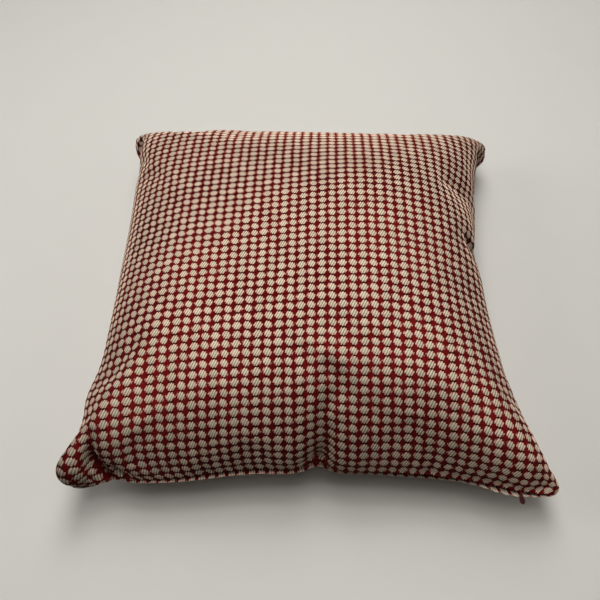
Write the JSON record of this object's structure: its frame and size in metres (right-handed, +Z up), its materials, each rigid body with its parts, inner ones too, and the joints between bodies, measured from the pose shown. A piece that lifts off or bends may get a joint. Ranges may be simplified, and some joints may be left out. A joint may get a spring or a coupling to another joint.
{
  "type": "outdoor cushion",
  "caption": "Square filled cushion in woven dotted cloth, crowned, with drawn-in sides, four ears, a knife-edge seam and a concealed zip with a small puller.",
  "frame": {"origin": "on the surface the cushion lies on, under the middle of its bounding box", "axes": "+Z up out of the crowned top panel, -Y towards the zip seam at the front, +X to the right when the zip seam faces the viewer"},
  "size_m": [0.42, 0.4217, 0.1363],
  "materials": {
    "woven_cloth": "matte thick woven cloth, rows of raised cream dots with fine slanting ribs on a dark red ground",
    "puller_enamel": "smooth dark red enamel, slightly glossy"
  },
  "bodies": {
    "root": {"cushion": "woven_cloth", "zip_pull": "puller_enamel"}
  },
  "joints": []
}
